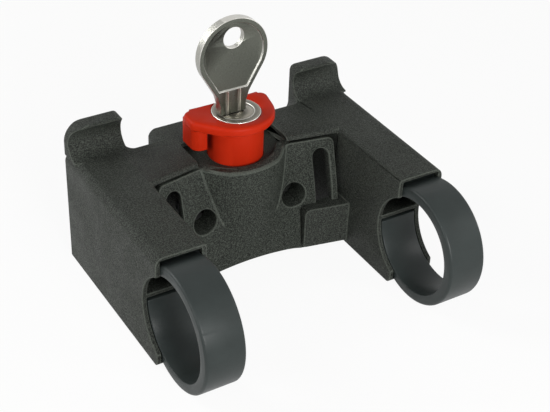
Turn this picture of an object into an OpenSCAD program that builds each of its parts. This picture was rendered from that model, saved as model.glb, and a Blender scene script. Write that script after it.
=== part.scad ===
// Handlebar mount for a bicycle bag: two hollow arms clamp a round bar with
// screw-tightened bands, a cross beam between them carries a key-locked push
// button that draws back a sprung latch, and two hooked horns carry the bag.
// Frame: X runs along the bar, Y from the rider to the bag, Z up.
// The origin is on the bar's axis, midway between the two arms.

/* [Bar clamp] */
// Diameter of the bar that the bands close round
bar_d = 31.8; // [31:0.1:32.6]
// Thickness of a band
strap_wall = 3.5; // [3.2:0.1:3.8]
// Radius of a band's long edges
strap_edge_r = 0.9; // [0.4:0.1:1.2]
// Side clearance of a band in its arm
strap_play = 0.25; // [0.2:0.05:0.4]
// Angle from the level, at which a band leaves its hinge
strap_start_deg = 58; // [56:1:62]
// Angle below the level, at which a band's tail ends
strap_tail_deg = 3; // [2:1:5]
// Radius of the trunnions that a band swings on
trunnion_r = 1.6; // [1.4:0.1:1.7]
// Distance of the trunnions outside the bar's surface
trunnion_out = 2.3; // [2.2:0.1:2.6]
// Angle of the trunnions above the level
trunnion_deg = 59; // [58:1:60]

/* [Arms] */
// Width over both arms
body_w = 99; // [97:1:102]
// Width of one arm
arm_w = 16.3; // [16:0.1:17]
// Wall of an arm
arm_wall = 1.5; // [1.4:0.1:1.7]
// Thickness of an arm's top at its open end
lip_t = 1.1; // [1:0.1:1.3]
// Height of the open end above the band
pocket_gap = 0.1; // [0.05:0.05:0.3]
// Distance from the bar's axis to the arms' open ends
mouth_y = 7; // [6.8:0.1:7.2]
// Distance from the bar's axis to the face that meets the bag
bag_y = 69; // [68:0.5:72]
// Height of the bands above the surface that the arms stand on
foot_gap = 0.1; // [0.1:0.1:0.4]
// Radius of an arm's outer top edge
arm_top_r = 3; // [2:0.5:3.5]
// Radius of an arm's other long edges
arm_edge_r = 1.2; // [0.8:0.1:1.4]
// Thickness of the wall that the clamp bolts bear on
web_t = 3; // [2.5:0.5:4]
// Distance of that wall from the bar's axis
web_y = 34; // [33:0.5:36]
// Thickness of the level rib behind the bar
rib_t = 1.4; // [1.2:0.1:1.6]
// Height of that rib above the bar's axis
rib_z = 0.3; // [0.2:0.1:0.6]

/* [Horns] */
// Height of the horns above the arms
horn_h = 10.9; // [10:0.1:12]
// Thickness of a horn at the middle of its scoop
horn_t = 2.7; // [2.4:0.1:3.2]
// Radius of the scoop under the hook's lip
scoop_r = 5.3; // [5:0.1:5.8]
// Reach of the lip towards the rider, from the bag's face
lip_reach = 5.6; // [5.2:0.1:6]
// Radius of the lip's upper edge
lip_end_r = 0.6; // [0.4:0.1:0.7]
// Radius of a horn's outer top corner
horn_outer_r = 7; // [6:0.5:8]
// Radius of a horn's inner top corner
horn_inner_r = 2.5; // [2:0.5:3]
// Overhang of a horn past the arm's inner face
horn_in = 1.8; // [1.5:0.1:2.2]
// Width of the raised middle between the dips
hump_w = 42; // [40:1:44]
// Radius of the raised middle's upper corners
hump_r = 3; // [2:0.5:3.5]
// Depth of the dips at the bag's face
dip_h = 6.8; // [6:0.1:7.5]
// Length of the dips towards the rider
dip_l = 7.8; // [7:0.1:8.5]
// Radius of the dips' bottom corners
dip_r = 2.6; // [2:0.2:3]

/* [Cross beam] */
// Distance from the bar's axis to the beam's front lip
beam_y = 42.6; // [42.4:0.1:43]
// Thickness of the beam's top
beam_top_t = 1.6; // [1.4:0.1:1.8]
// Thickness of the wall at the bag's face
back_t = 2.5; // [2.2:0.1:3]
// Radius of the lip's upper edge
beam_lip_r = 1.4; // [1:0.1:1.4]
// Width of the opening for the button
notch_w = 31.8; // [31.4:0.2:33]
// Distance from the bar's axis to the opening's rear edge
notch_y = 56.9; // [56.6:0.1:57.5]
// Width of the lugs that hold the lock housing
lug_w = 15; // [14:0.5:15.5]
// Height of the lugs
lug_h = 14.8; // [13:0.2:15]
// Lowest level of the lugs above the arms' underside
lug_up = 1.9; // [1.5:0.1:3]
// Distance from the bar's axis to the lugs' front
lug_y = 34.7; // [34.4:0.1:35]
// Radius of the lugs' corners
lug_r = 2; // [1:0.5:2.5]

/* [Lock housing] */
// Gap between the housing's front plate and each arm
plate_side = 1.8; // [1.4:0.1:2.2]
// Thickness of the plate
plate_t = 3; // [2.6:0.1:3.2]
// Distance from the bar's axis to the plate's front at the bar's height
plate_y = 39.2; // [39:0.1:39.4]
// Lean of the plate, its top towards the bag
plate_lean = 8.1; // [7.8:0.1:8.4]
// Height of the plate's lower edge above the arms' underside
plate_up = 0.6; // [0.5:0.1:1.2]
// Rise of the lower edge's arch
plate_arch = 1.6; // [1:0.1:2]
// Gap between the plate and the beam's lip
plate_gap = 0.4; // [0.3:0.1:0.6]
// Radius of the plate's upper corners
plate_r = 2; // [1:0.5:2.5]
// Radius of the boss round the button
boss_r = 22; // [21.5:0.5:23]
// Reach of the boss in front of the button's axis
boss_reach = 14; // [13.8:0.1:14.4]
// Lean of the boss, its top towards the rider
boss_lean = 3.5; // [3:0.1:3.8]
// Wall of the boss
boss_wall = 2.2; // [2:0.1:2.4]
// Width of the boss's rim
rim_w = 3.8; // [3.6:0.1:4]
// Depth of the recess inside the rim
rim_deep = 0.9; // [0.7:0.1:1.1]
// Depth of the boss's rim below the arms' tops
rim_down = 2.2; // [2:0.1:2.5]
// Thickness of the recess's floor
floor_t = 1.6; // [1.4:0.1:2]
// Height of the guide under the floor
guide_h = 6.2; // [5.8:0.1:6.6]
// Wall of the guide
guide_wall = 2.1; // [1.8:0.1:2.2]
// Radius of the two holes for a steel support cable
cable_r = 4.15; // [3.9:0.05:4.3]
// Place of those holes as a share of the plate's half width
cable_share = 0.516; // [0.51:0.001:0.53]
// Height of those holes above the bar's axis
cable_z = 1.35; // [1:0.05:1.6]
// Length of those holes
cable_l = 8; // [7:0.5:9]
// Width of the two upright slots
slot_w = 5.5; // [5:0.1:5.6]
// Place of the slots as a share of the plate's half width
slot_share = 0.847; // [0.84:0.001:0.86]
// Height of the slots' upper end above the bar's axis
slot_top = 15.4; // [15:0.1:15.8]
// Length of the slots
slot_l = 24; // [22:0.5:25]

/* [Button] */
// Distance from the bar's axis to the button's axis
button_y = 49.5; // [49.4:0.1:49.7]
// Height of the button's top above the arms' tops
button_up = 11.7; // [11.4:0.1:12]
// Thickness of the button's top
button_t = 3; // [2.8:0.1:3.2]
// Radius of the button's round front
button_r = 13; // [12.8:0.1:13.2]
// Distance of the round front's centre behind the button's axis
button_ahead = 1.8; // [1.6:0.1:2]
// Reach of the button's left end from its axis
button_left = 15.7; // [15.6:0.1:15.8]
// Reach of the button's right end from its axis
button_right = 13.8; // [13.6:0.1:14]
// Reach of the button's straight back from its axis
button_back = 7.1; // [6.9:0.1:7.2]
// Radius of the button's barrel
barrel_r = 8.8; // [8.7:0.05:8.9]
// Travel of the button
button_travel = 4; // [3.6:0.1:4.2]
// Width of the wing under the left end
wing_w = 4.4; // [4:0.1:4.8]
// Gap between the wing and the opening's side
wing_gap = 0.5; // [0.4:0.1:0.7]
// Height of the wing's foot above the arms' tops
wing_up = 1.6; // [1.5:0.1:2]
// Radial clearance of the barrel in its guide
barrel_play = 0.1; // [0.08:0.01:0.12]

/* [Lock] */
// Radius of the lock's face
lock_face_r = 7.8; // [7.7:0.05:7.9]
// Thickness of the lock's face
lock_face_t = 1.5; // [1.3:0.1:1.8]
// Radius of the lock's body
lock_body_r = 7; // [6.9:0.05:7.05]
// Length of the lock over all
lock_l = 21.4; // [20:0.2:22]
// Radius of the turning plug
plug_r = 5.6; // [5.5:0.05:5.7]
// Radial clearance of the plug
plug_play = 0.06; // [0.05:0.01:0.09]
// Number of wafers
wafer_n = 5; // [3:1:5]
// Distance between wafers
wafer_pitch = 3; // [2.8:0.1:3.2]
// Thickness of a wafer
wafer_t = 0.8; // [0.7:0.05:0.9]
// Thickness of the cam under the plug
cam_t = 1.8; // [1.6:0.1:2]
// Reach of the cam
cam_r = 3.7; // [3.5:0.1:3.8]

/* [Key] */
// Width of the key's blade
blade_w = 6.2; // [6:0.1:6.4]
// Thickness of the key's blade
blade_t = 2; // [1.9:0.05:2.1]
// Length of the key's blade in the lock
blade_l = 19.6; // [18:0.2:20]
// Offset of the blade to the left of the lock's axis
blade_off = 1.1; // [1:0.1:1.2]
// Width of the key's shank
shank_w = 9.2; // [8.8:0.1:9.4]
// Offset of the bow to the left of the lock's axis
bow_off = 1.9; // [1.8:0.1:2]
// Radius of the key's bow
bow_r = 11.7; // [11.4:0.1:12]
// Thickness of the bow's rim
bow_t = 2.8; // [2.6:0.1:3]
// Depth of the sunk field on each side of the bow
bow_sunk = 0.45; // [0.3:0.05:0.6]
// Width of the bow's raised rim
bow_rim = 1.5; // [1.2:0.1:1.8]
// Height of the key above the lock's face
key_up = 32.3; // [32:0.1:33]
// Radius of the hole in the bow
bow_hole_r = 3.4; // [3.2:0.1:3.6]
// Distance from the bow's top to the centre of its hole
bow_hole_down = 6.4; // [6.2:0.1:6.8]
// Height of the sunk field's lower end above the lock's face
shoulder_up = 8.6; // [8.2:0.1:9]
// Half length of the chamfer between the bow and the shank
neck_l = 1.6; // [1:0.1:2]

/* [Latch] */
// Width of the latch's slide
latch_w = 20; // [19.8:0.1:20.2]
// Thickness of the latch
latch_t = 3.6; // [3.4:0.1:3.8]
// Height of the latch's top below the bar's axis
latch_down = 4.6; // [4.4:0.1:4.8]
// Width of the latch's nose
nose_w = 13; // [12:0.5:14]
// Reach of the nose past the bag's face
nose_reach = 3.8; // [3.5:0.1:3.9]
// Clearance round the latch
latch_play = 0.25; // [0.2:0.05:0.35]
// Wall of the latch's guide
sleeve_t = 1.6; // [1.4:0.1:1.8]
// Thickness of the spring's seat
seat_t = 1.6; // [1.4:0.1:1.7]
// Thickness of each of the button's two legs
leg_t = 1.8; // [1.6:0.1:1.9]
// Distance of the legs' inner faces from the button's axis
leg_x = 6.4; // [6.3:0.05:6.5]
// Wire diameter of the button's spring
spring_wire = 1.1; // [1:0.1:1.2]
// Mean radius of the button's spring
spring_r = 4.6; // [4.5:0.1:4.7]
// Turns of the button's spring
spring_turns = 4.5; // [3.5:0.5:4.5]

/* [Fasteners] */
// Core radius of a clamp bolt
bolt_r = 2.05; // [2:0.05:2.1]
// Radius of a clamp bolt's head
bolt_head_r = 4.25; // [4:0.05:4.3]
// Height of a clamp bolt's head
bolt_head_h = 5; // [4.5:0.1:5.2]
// Width across the flats of the head's hexagon socket
socket_af = 4; // [3.5:0.1:4.2]
// Distance of the bolts' axes below the bar's axis
bolt_down = 6.2; // [6:0.1:6.4]
// Width of a clamp nut
nut_w = 8; // [7.6:0.1:8.2]
// Thickness of a clamp nut
nut_t = 2.7; // [2.5:0.1:2.8]
// Radius of a clamp nut's thread, taken at its root
nut_r = 2.5; // [2.5:0.01:2.55]
// Thickness of a washer
washer_t = 1; // [0.8:0.1:1.2]
// Radius of a washer
washer_r = 4.9; // [4.7:0.1:5]
// Shank radius of a housing screw
screw_r = 1.4; // [1.3:0.05:1.45]
// Head radius of a housing screw
screw_head_r = 2.7; // [2.5:0.1:2.8]
// Half the distance between the housing screws across the part
screw_x = 20.2; // [20:0.1:20.4]
// Height of the upper housing screws above the bar's axis
screw_high = 10.6; // [10.2:0.1:11]
// Depth of the lower housing screws below the bar's axis
screw_low = 12; // [11.5:0.1:12.5]

/* [Hidden] */
$fn = 64;
// Overrun of every cut past the face that it opens
over = 1;
// Gap between pieces that nearly touch
fit_gap = 0.3;
// Gap under a piece that lies on its seat
seat_gap = 0.05;
// Radius of small inner corners
turn_r = 1;

// Bar, bands and arms
bar_r = bar_d / 2;
strap_r = bar_r + strap_wall;
half_w = body_w / 2;
arm_in = half_w - arm_w;
arm_mid = half_w - arm_w / 2;
cavity_in = arm_in + arm_wall;
cavity_out = half_w - arm_wall;
beam_end = arm_in + arm_wall / 2;
strap_w = arm_w - 2 * arm_wall - 2 * strap_play;
arm_top = strap_r + pocket_gap + lip_t;
arm_low = -strap_r - foot_gap;
floor_z = arm_low + arm_wall;
pocket_l = 6;
toe_r = 3;
lug_low = arm_low + lug_up;
wall_y = bag_y - back_t;

// Trunnions of a band and their sockets in the arm
pivot_r = bar_r + trunnion_out;
pivot_y = pivot_r * cos(trunnion_deg);
pivot_z = pivot_r * sin(trunnion_deg);
socket_share = 0.5;
socket_deep = arm_wall * socket_share;
trunnion_play = 0.05;
trunnion_half = strap_w / 2 + strap_play + socket_deep - seat_gap;

// Clamp bolt, its nut, and the block on the band's tail that holds the nut
bolt_z = -bolt_down;
block_w = 11;
block_front_t = 0.2;
block_back_t = 1.7;
block_top_t = 1.1;
block_in_share = 0.35;
block_in = bar_r + strap_wall * block_in_share;
nut_play = 0.12;
nut_end_play = 0.1;
bolt_hole_play = 0.9;
bolt_hole_deep = 1.2;
web_hole_play = 0.7;
pocket_y = strap_r + block_front_t;
nut_y = pocket_y + nut_end_play;
pocket_back = nut_y + nut_t + nut_end_play;
block_back = pocket_back + block_back_t;
pocket_top = bolt_z + nut_w / 2 + nut_play;
block_top = pocket_top + block_top_t;
block_low = bolt_z - nut_w / 2 - fit_gap;
web_back = web_y + web_t;
web_down = 7.5;
tube_r = washer_r + fit_gap;
tube_wall = 1;
washer_y = web_back + seat_gap;
washer_play = 0.35;
head_y = washer_y + washer_t + seat_gap;
socket_l = 2.6;
head_edge = 0.4;

// Horns and dips
horn_top = arm_top + horn_h;
horn_left = arm_in - horn_in;
horn_back_r = 1.2;
horn_foot = arm_top - arm_wall / 2;
scoop_y = bag_y - horn_t - scoop_r;
scoop_z = arm_top + scoop_r;
dip_deg = atan(dip_h / dip_l);
dip_z = arm_top - dip_h;
dip_floor_t = 1.6;
// Overshoot of the raised middle's rounding past the faces that it joins
round_out = 0.05;

// Screws of the lock housing
beam_under = arm_top - beam_top_t;
frame_boss_r = 3.6;
frame_boss_y = 52.3;
head_recess_r = 2.95;
head_recess_l = 2.2;
screw_head_h = 1.9;
screw_head_y = bag_y - head_recess_l + seat_gap;
screw_hole_play = 0.3;
pilot_play = 0.1;
pilot_l = 6.5;
cross_w = 0.8;
cross_l = 3.4;
cross_deep = 1;

// Lock housing
plate_half = arm_in - plate_side;
slot_x = plate_half * slot_share;
cable_x = plate_half * cable_share;
plate_top = beam_under - plate_gap;
plate_low = arm_low + plate_up;
rim_z = arm_top - rim_down;
recess_z = rim_z - rim_deep;
floor_under = recess_z - floor_t;
floor_half = 15;
floor_back = 60;
guide_z = floor_under - guide_h;
guide_r = barrel_r + barrel_play;
boss_y = button_y - boss_reach;
boss_foot = 33;
arch_half = arm_in - lug_w;
arch_r = (arch_half * arch_half + plate_arch * plate_arch) / (2 * plate_arch);
arch_fn = 200;
cable_wall = 1.2;
housing_boss_r = 3;
post_x = 14;
post_y = 57;
post_r = 2.2;

// Button and lock
button_top = arm_top + button_up;
flange_z = button_top - button_t;
lock_z = button_top - lock_l;
lock_play = 0.1;
button_floor_t = 2;
button_floor = lock_z - button_floor_t;
foot_t = 2.5;
foot_top = guide_z - fit_gap;
foot_low = foot_top - foot_t;
foot_half = 9.6;
foot_front = 42.5;
foot_back = 57.3;
well_r = 5.8;
wing_x = notch_w / 2 - wing_gap;
wing_front = 1.9;
wing_r = 3;
button_turn_r = 2.5;
wing_mid = [wing_r - button_left, wing_r - wing_front - button_ahead];
wing_rear = [wing_r - button_left, button_back - wing_r - button_ahead];
right_mid = [button_right - button_turn_r, button_back - button_turn_r - button_ahead];
wing_deg = atan2(wing_mid.y, wing_mid.x) + acos((button_r - wing_r) / norm(wing_mid));
right_deg = atan2(right_mid.y, right_mid.x) - acos((button_r - button_turn_r) / norm(right_mid));
tail_r = 2.3;
tail_hole_r = 2.7;
plug_low = lock_z + lock_play;
cam_top = button_floor - fit_gap;
cam_low = cam_top - cam_t;
cam_hub_r = 2.6;
cam_finger = 3.2;
cam_screw_r = 0.9;
cam_screw_play = 0.1;
cam_screw_l = 2.9;
cam_head_r = 1.8;
cam_head_h = 1.2;
wafer_w = 9.6;
wafer_h = 3.4;
wafer_first = 3.2;
wafer_play = 0.1;

// Latch and its guide
latch_top = -latch_down;
latch_low = latch_top - latch_t;
seat_top = latch_top + latch_play + seat_t;
sleeve_low = latch_low - latch_play - sleeve_t;
sleeve_half = latch_w / 2 + latch_play + sleeve_t;
sleeve_front = 44;
latch_back = 46.5;
latch_stop = 0.5;
nose_tip_share = 0.3;
nose_flat = 0.8;
leg_front = 47.5;
leg_back = 56.9;
leg_tip = 0.9;
leg_foot = latch_low - fit_gap;
wedge_play = 0.2;
ear_l = 6;
guide_screw_r = 1;
guide_head_r = 1.7;
guide_head_h = 1.3;
ear_low = seat_top - seat_t;
spring_sides = 10;
spring_steps = 26;
spring_end_pitch = 1.25;
spring_low = seat_top + seat_gap + spring_wire / 2;
spring_high = button_floor - seat_gap - spring_wire / 2;

// Key
key_play = 0.2;
blade_mid = -blade_off;
bow_x = -bow_off;
bow_top = button_top + key_up;
bow_z = bow_top - bow_r;
bow_taper = 30;
bow_web = 5;
blade_low = button_top - blade_l;
blade_tip = 2;
shank_low = button_top + fit_gap;
shoulder_z = button_top + shoulder_up;
groove_x = 2.1;
groove_w = 1.6;
groove_deep = 0.5;
groove_end = 0.4;
bow_blend = 0.03;
neck_d = (bow_r / cos(bow_taper) - shank_w / 2) / tan(bow_taper);
cut_least = 0.6;
cut_step = 0.4;
cut_w = 1.2;

// Extrudes an outline in Y and Z along the bar
module along_x(x0, x1) translate([x0, 0, 0]) rotate([90, 0, 90]) linear_extrude(x1 - x0) children();
// Extrudes an outline in X and Z towards the bag
module along_y(y0, y1) translate([0, y1, 0]) rotate([90, 0, 0]) linear_extrude(y1 - y0) children();
// Extrudes an outline in X and Y upwards
module along_z(z0, z1) translate([0, 0, z0]) linear_extrude(z1 - z0) children();
module rod_x(x0, x1, y, z, r) translate([x0, y, z]) rotate([0, 90, 0]) cylinder(h = x1 - x0, r = r);
module rod_y(y0, y1, x, z, r) translate([x, y0, z]) rotate([-90, 0, 0]) cylinder(h = y1 - y0, r = r);
module rod_z(z0, z1, x, y, r) translate([x, y, z0]) cylinder(h = z1 - z0, r = r);
module block(x0, x1, y0, y1, z0, z1) translate([x0, y0, z0]) cube([x1 - x0, y1 - y0, z1 - z0]);
module left() mirror([1, 0, 0]) children();
module both_sides() {
    children();
    left() children();
}

// Takes the corner at p off an outline that lies on the sides sx and sy of p
module corner_cut(p, r, sx, sy) if (r > 0) difference() {
    translate([p[0] - (sx < 0 ? r : over), p[1] - (sy < 0 ? r : over)]) square(r + over);
    translate([p[0] + sx * r, p[1] + sy * r]) circle(r);
}

// Rectangle from a to b; r holds the radii of its low left, low right, high right and high left corners
module round_rect(a, b, r) difference() {
    translate(a) square(b - a);
    corner_cut(a, r[0], 1, 1);
    corner_cut([b[0], a[1]], r[1], -1, 1);
    corner_cut(b, r[2], -1, -1);
    corner_cut([a[0], b[1]], r[3], 1, -1);
}

// Outside form of the right arm
module arm_solid() intersection() {
    along_y(mouth_y, bag_y)
        round_rect([arm_in, arm_low], [half_w, arm_top], [arm_edge_r, arm_edge_r, arm_top_r, arm_edge_r]);
    along_x(arm_in - over, half_w + over)
        round_rect([mouth_y, arm_low], [bag_y, arm_top], [toe_r, arm_edge_r, 0, 0]);
}

// Right horn: an upright plate whose top hooks over towards the rider, and its foot beside the dip
module horn() {
    intersection() {
        along_y(scoop_y, bag_y)
            round_rect([horn_left, horn_foot], [half_w, horn_top], [0, 0, horn_outer_r, horn_inner_r]);
        along_x(horn_left - over, half_w + over) difference() {
            round_rect([scoop_y, horn_foot], [bag_y, horn_top], [0, 0, horn_back_r, 0]);
            translate([scoop_y, scoop_z]) circle(scoop_r);
            translate([scoop_y - over, scoop_z]) square([bag_y - lip_reach - scoop_y + over, horn_h]);
            corner_cut([bag_y - lip_reach, horn_top], lip_end_r, 1, -1);
        }
    }
    block(horn_left, beam_end, scoop_y, bag_y, dip_z - dip_r, horn_foot + over / 2);
}

// Places children on the dip's floor, at the bag's face
module on_dip() translate([0, bag_y, dip_z]) rotate([-dip_deg, 0, 0]) children();

// Material round the right dip
module dip_shell() intersection() {
    on_dip() block(hump_w / 2 - dip_floor_t, beam_end - over / 2, -dip_l * 2, dip_l, -dip_floor_t, dip_h * 2);
    block(0, half_w, beam_y + over, wall_y + back_t / 2, 0, arm_top - beam_top_t / 2);
}

// Right dip, between the horn and the raised middle
module dip() {
    on_dip() translate([0, dip_l, 0]) rotate([90, 0, 0]) linear_extrude(dip_l * 3)
        round_rect([hump_w / 2, 0], [horn_left, dip_h * 2], [0, dip_r, 0, 0]);
    intersection() {
        along_y(bag_y - dip_l, bag_y + over)
            corner_cut([hump_w / 2 + round_out, arm_top + round_out], hump_r, -1, -1);
        on_dip() block(0, half_w, -dip_l * 2, dip_l, 0, dip_h * 2);
    }
}

// Lug at the foot of the right arm's inner face, in front of the housing's plate
module lug() difference() {
    along_y(lug_y, plate_y + plate_t)
        round_rect([arm_in - lug_w, lug_low], [beam_end, lug_low + lug_h], [turn_r, 0, 0, lug_r]);
    on_plate() block(0, plate_half + fit_gap, -fit_gap, plate_t * 4, -half_w, half_w);
}

module frame_outside() {
    both_sides() {
        arm_solid();
        lug();
        dip_shell();
    }
    along_x(-beam_end, beam_end) difference() {
        round_rect([beam_y, arm_low], [bag_y, arm_top], [0, arm_edge_r, 0, beam_lip_r]);
        translate([beam_y - over, arm_low - over])
            square([wall_y - beam_y + over, beam_under - arm_low + over]);
    }
}

// Hollow of the right arm, open at its end, with room for the band
module arm_hollow() {
    block(cavity_in, cavity_out, mouth_y - over, mouth_y + pocket_l, floor_z, arm_top - lip_t);
    block(cavity_in, cavity_out, mouth_y, wall_y, floor_z, arm_top - arm_wall);
    intersection() {
        rod_x(cavity_in, cavity_out, 0, 0, strap_r + fit_gap);
        block(cavity_in, cavity_out, 0, strap_r + over, arm_low - over, 0);
    }
    rod_x(cavity_in - socket_deep, cavity_out + socket_deep, pivot_y, pivot_z, trunnion_r + trunnion_play);
}

// Rib, cross wall and bolt tube inside the right arm
module arm_inside() {
    block(beam_end, half_w - arm_wall / 2, 0, web_back, rib_z, rib_z + rib_t);
    block(beam_end, half_w - arm_wall / 2, web_y, web_back, bolt_z - web_down, rib_z + rib_t);
    rod_y(web_y + web_t / 2, wall_y + back_t / 2, arm_mid, bolt_z, tube_r + tube_wall);
}

module screw_places() both_sides() {
    translate([screw_x, 0, screw_high]) children();
    translate([screw_x, 0, -screw_low]) children();
}

module main_frame() color("#2b2c2e") difference() {
    union() {
        difference() {
            frame_outside();
            both_sides() {
                arm_hollow();
                dip();
            }
        }
        both_sides() {
            horn();
            arm_inside();
        }
        screw_places() rod_y(frame_boss_y, bag_y - back_t / 2, 0, 0, frame_boss_r);
    }
    rod_x(-half_w - over, half_w + over, 0, 0, bar_r);
    both_sides() {
        rod_y(web_y - over, web_back + over, arm_mid, bolt_z, bolt_r + web_hole_play);
        rod_y(web_back, bag_y + over, arm_mid, bolt_z, tube_r);
    }
    screw_places() {
        rod_y(frame_boss_y - over, bag_y, 0, 0, screw_r + screw_hole_play);
        rod_y(bag_y - head_recess_l, bag_y + over, 0, 0, head_recess_r);
    }
    along_z(beam_under - over, arm_top + over)
        round_rect([-notch_w / 2, beam_y - over], [notch_w / 2, notch_y], [0, 0, turn_r, turn_r]);
    rod_z(beam_under - over, arm_top + over, 0, button_y, barrel_r + wing_gap);
    block(-nose_w / 2 - latch_play, nose_w / 2 + latch_play, wall_y - over, bag_y + over,
        latch_low - latch_play, latch_top + latch_play);
}

// Places children on the front face of the housing's leaning plate
module on_plate() translate([0, plate_y, 0]) rotate([-plate_lean, 0, 0]) children();
// Distance of the plate's front from the bar's axis at height z
function plate_front(z) = plate_y + z * tan(plate_lean);

module boss_core(r) translate([0, boss_y + boss_r, rim_z]) rotate([boss_lean, 0, 0])
    translate([0, 0, -boss_foot * 2]) cylinder(h = boss_foot * 3, r = r);

module plate_outline() difference() {
    round_rect([-plate_half, plate_low], [plate_half, plate_top], [plate_r, plate_r, plate_r, plate_r]);
    translate([0, plate_low + plate_arch - arch_r]) circle(arch_r, $fn = arch_fn);
    both_sides() {
        translate([slot_x, slot_top - slot_w / 2]) circle(slot_w / 2);
        translate([slot_x, slot_top - slot_l + slot_w / 2]) circle(slot_w / 2);
        translate([slot_x - slot_w / 2, slot_top - slot_l + slot_w / 2]) square([slot_w, slot_l - slot_w]);
    }
}

module housing_outside() {
    on_plate() along_y(0, plate_t) plate_outline();
    intersection() {
        boss_core(boss_r);
        on_plate() block(-boss_r, boss_r, -boss_r, plate_t, plate_low, plate_top + over);
        block(-boss_r, boss_r, 0, bag_y, rim_z - boss_foot, rim_z);
    }
}

module housing_floor() {
    along_z(floor_under, recess_z) {
        intersection() {
            translate([0, boss_y + boss_r]) circle(boss_r - boss_wall / 2);
            translate([-boss_r, 0]) square([2 * boss_r, plate_front(recess_z) + plate_t]);
        }
        translate([-floor_half, plate_front(recess_z)])
            square([2 * floor_half, floor_back - plate_front(recess_z)]);
    }
    rod_z(guide_z, floor_under + floor_t / 2, 0, button_y, guide_r + guide_wall);
    both_sides() rod_z(seat_top, floor_under + floor_t / 2, post_x, post_y, post_r);
}

module lock_housing() color("#343638") difference() {
    union() {
        difference() {
            housing_outside();
            intersection() {
                boss_core(boss_r - boss_wall);
                block(-boss_r, boss_r, 0, bag_y, -half_w, floor_under + floor_t / 2);
            }
            intersection() {
                boss_core(boss_r - rim_w);
                block(-boss_r, boss_r, 0, bag_y, recess_z, rim_z + over);
            }
        }
        housing_floor();
        both_sides() {
            rod_y(plate_front(cable_z) + plate_t / 2, plate_front(cable_z) + cable_l, cable_x, cable_z,
                cable_r + cable_wall);
            for (z = [-screw_low, screw_high])
                rod_y(plate_front(z) + plate_t / 2, frame_boss_y - fit_gap, screw_x, z, housing_boss_r);
        }
    }
    rod_z(guide_z - over, recess_z + over, 0, button_y, guide_r);
    both_sides() {
        rod_y(lug_y, plate_front(cable_z) + cable_l + over, cable_x, cable_z, cable_r);
        rod_z(seat_top - over, seat_top + pilot_l, post_x, post_y, guide_screw_r + pilot_play);
    }
    screw_places() rod_y(frame_boss_y - pilot_l, frame_boss_y, 0, 0, screw_r + pilot_play);
}

// Fixed sleeve that the latch slides in; its top is the seat of the button's spring
module latch_guide() color("#46494c") difference() {
    union() {
        block(-sleeve_half, sleeve_half, sleeve_front, wall_y - fit_gap, sleeve_low, seat_top);
        both_sides() {
            block(0, post_x, post_y - ear_l / 2, post_y + ear_l / 2, ear_low, seat_top);
            rod_z(ear_low, seat_top, post_x, post_y, ear_l / 2);
        }
    }
    block(-latch_w / 2 - latch_play, latch_w / 2 + latch_play, sleeve_front - over, wall_y + over,
        latch_low - latch_play, latch_top + latch_play);
    both_sides() {
        block(leg_x - fit_gap, leg_x + leg_t + fit_gap, leg_front - fit_gap, leg_back + fit_gap,
            sleeve_low - over, seat_top + over);
        rod_z(ear_low - over, seat_top + over, post_x, post_y, guide_screw_r + screw_hole_play);
    }
}

// Place of the legs' sloped front at height z, with the button at rest
function leg_wedge(z) = leg_back - leg_tip - (z - leg_foot);

// Latch: a flat slide with a sloped nose, drawn back by the button's two legs
module latch() color("#3c3f42") difference() {
    union() {
        block(-latch_w / 2, latch_w / 2, latch_back, wall_y - latch_stop, latch_low, latch_top);
        along_x(-nose_w / 2, nose_w / 2) polygon([
            [wall_y - nose_reach, latch_low],
            [bag_y + nose_reach, latch_low],
            [bag_y + nose_reach, latch_low + latch_t * nose_tip_share],
            [bag_y + nose_flat, latch_top],
            [wall_y - nose_reach, latch_top]]);
    }
    both_sides() along_x(leg_x - fit_gap, leg_x + leg_t + fit_gap) polygon([
        [leg_wedge(latch_low - over) - wedge_play, latch_low - over],
        [leg_back + button_travel + fit_gap, latch_low - over],
        [leg_back + button_travel + fit_gap, latch_top + over],
        [leg_wedge(latch_top + over) - wedge_play, latch_top + over]]);
}

// Outline of the button's top: round in front, straight behind, longer to the left
module button_outline() translate([0, button_y + button_ahead]) {
    intersection() {
        circle(button_r);
        translate([-button_r, -button_r]) square([2 * button_r, button_r]);
    }
    translate(wing_mid) circle(wing_r);
    translate(wing_rear) circle(wing_r);
    translate(right_mid) circle(button_turn_r);
    polygon([
        button_r * [cos(wing_deg), sin(wing_deg)],
        wing_mid + wing_r * [cos(wing_deg), sin(wing_deg)],
        wing_mid - [wing_r, 0],
        wing_rear - [wing_r, 0],
        wing_rear + [0, wing_r],
        right_mid + [0, button_turn_r],
        right_mid + button_turn_r * [cos(right_deg), sin(right_deg)],
        button_r * [cos(right_deg), sin(right_deg)]]);
}

module release_button() color("#c9281c") difference() {
    union() {
        along_z(flange_z, button_top) button_outline();
        rod_z(button_floor, flange_z + button_t / 2, 0, button_y, barrel_r);
        along_z(arm_top + wing_up, flange_z + button_t / 2)
            round_rect([-wing_x, button_y - wing_front], [wing_w - wing_x, notch_y - wing_gap],
                [wing_r, 0, 0, turn_r]);
        along_z(foot_low, foot_top)
            round_rect([-foot_half, foot_front], [foot_half, foot_back], [turn_r, turn_r, turn_r, turn_r]);
        both_sides() along_x(leg_x, leg_x + leg_t) polygon([
            [leg_front, foot_low + foot_t / 2],
            [leg_back, foot_low + foot_t / 2],
            [leg_back, leg_foot],
            [leg_back - leg_tip, leg_foot],
            [leg_front, leg_foot + leg_back - leg_tip - leg_front]]);
    }
    rod_z(lock_z, button_top + over, 0, button_y, lock_body_r + lock_play);
    rod_z(button_top - lock_face_t - seat_gap, button_top + over, 0, button_y, lock_face_r + lock_play);
    rod_z(button_floor - over, lock_z + over, 0, button_y, tail_hole_r);
    rod_z(foot_low - over, button_floor, 0, button_y, well_r);
}

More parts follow.
